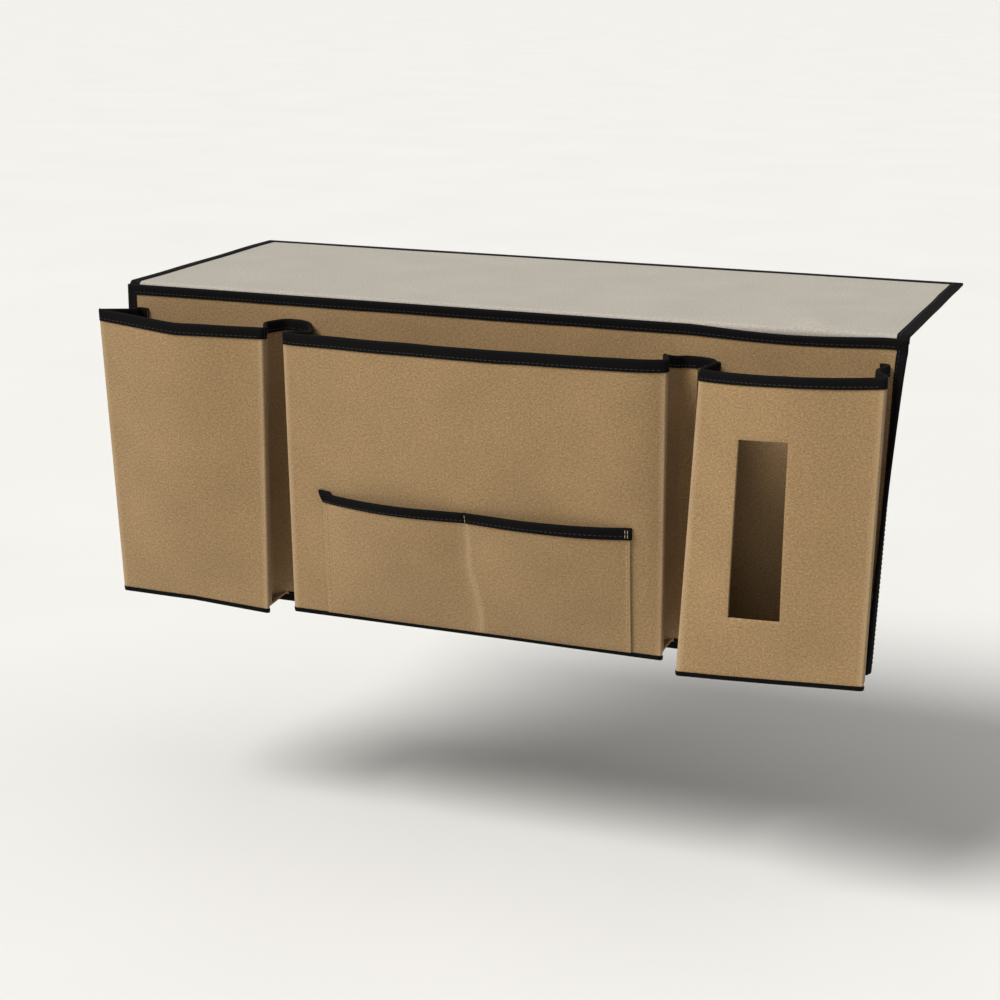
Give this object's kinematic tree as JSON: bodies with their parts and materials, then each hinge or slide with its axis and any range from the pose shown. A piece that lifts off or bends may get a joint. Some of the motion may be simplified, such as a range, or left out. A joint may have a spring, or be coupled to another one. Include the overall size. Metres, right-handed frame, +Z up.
{
  "type": "bedside caddy",
  "caption": "Fabric bedside organizer that hangs from a tuck flap, with pleated box pockets, bound edges, a slotted tissue pocket and a small patch pocket.",
  "frame": {"origin": "middle of the tuck flap's underside, the face that lies on the bed", "axes": "+Z up, +X to the right as seen from the pockets' side, +Y from the pockets in towards the bed"},
  "size_m": [0.62, 0.3199, 0.25],
  "materials": {
    "tan_felt": "matte tan stiffened non-woven cloth",
    "grey_felt": "matte warm grey non-woven cloth",
    "black_tape": "matte black folded binding tape"
  },
  "bodies": {
    "flap": {"tuck_flap": "grey_felt", "flap_left_binding": "black_tape", "flap_right_binding": "black_tape", "flap_rear_binding": "black_tape"},
    "hanging_panel": {"back_panel": "tan_felt", "back_top_binding": "black_tape", "back_bottom_binding": "black_tape", "back_left_binding": "black_tape", "back_right_binding": "black_tape", "left_pocket_floor": "tan_felt", "left_left_gusset": "tan_felt", "left_left_gusset_binding": "black_tape", "left_right_gusset": "tan_felt", "left_right_gusset_binding": "black_tape", "centre_pocket_floor": "tan_felt", "centre_left_gusset": "tan_felt", "centre_left_gusset_binding": "black_tape", "centre_right_gusset": "tan_felt", "centre_right_gusset_binding": "black_tape", "right_pocket_floor": "tan_felt", "right_left_gusset": "tan_felt", "right_left_gusset_binding": "black_tape", "right_right_gusset": "tan_felt", "right_right_gusset_binding": "black_tape"},
    "left_front": {"left_pocket_front": "tan_felt", "left_mouth_binding": "black_tape", "left_foot_binding": "black_tape"},
    "centre_front": {"centre_pocket_front": "tan_felt", "centre_mouth_binding": "black_tape", "centre_foot_binding": "black_tape", "patch_pocket": "tan_felt", "patch_binding": "black_tape"},
    "right_front": {"right_pocket_front": "tan_felt", "right_mouth_binding": "black_tape", "right_foot_binding": "black_tape"}
  },
  "joints": [
    {"name": "flap_fold", "type": "hinge", "parent": "flap", "child": "hanging_panel", "pos_m": [0, -0.1253, 0], "axis": [-1, 0, 0], "range_deg": [-89, 90]},
    {"name": "left_pocket_collapse", "type": "slide", "parent": "hanging_panel", "child": "left_front", "axis": [0, 1, 0], "range_m": [0, 0.03], "deforming": ["left_left_gusset", "left_right_gusset", "left_left_gusset_binding", "left_right_gusset_binding", "left_pocket_floor"]},
    {"name": "centre_pocket_collapse", "type": "slide", "parent": "hanging_panel", "child": "centre_front", "axis": [0, 1, 0], "range_m": [0, 0.03], "deforming": ["centre_left_gusset", "centre_right_gusset", "centre_left_gusset_binding", "centre_right_gusset_binding", "centre_pocket_floor"]},
    {"name": "right_pocket_collapse", "type": "slide", "parent": "hanging_panel", "child": "right_front", "axis": [0, 1, 0], "range_m": [0, 0.042], "deforming": ["right_left_gusset", "right_right_gusset", "right_left_gusset_binding", "right_right_gusset_binding", "right_pocket_floor"]}
  ]
}
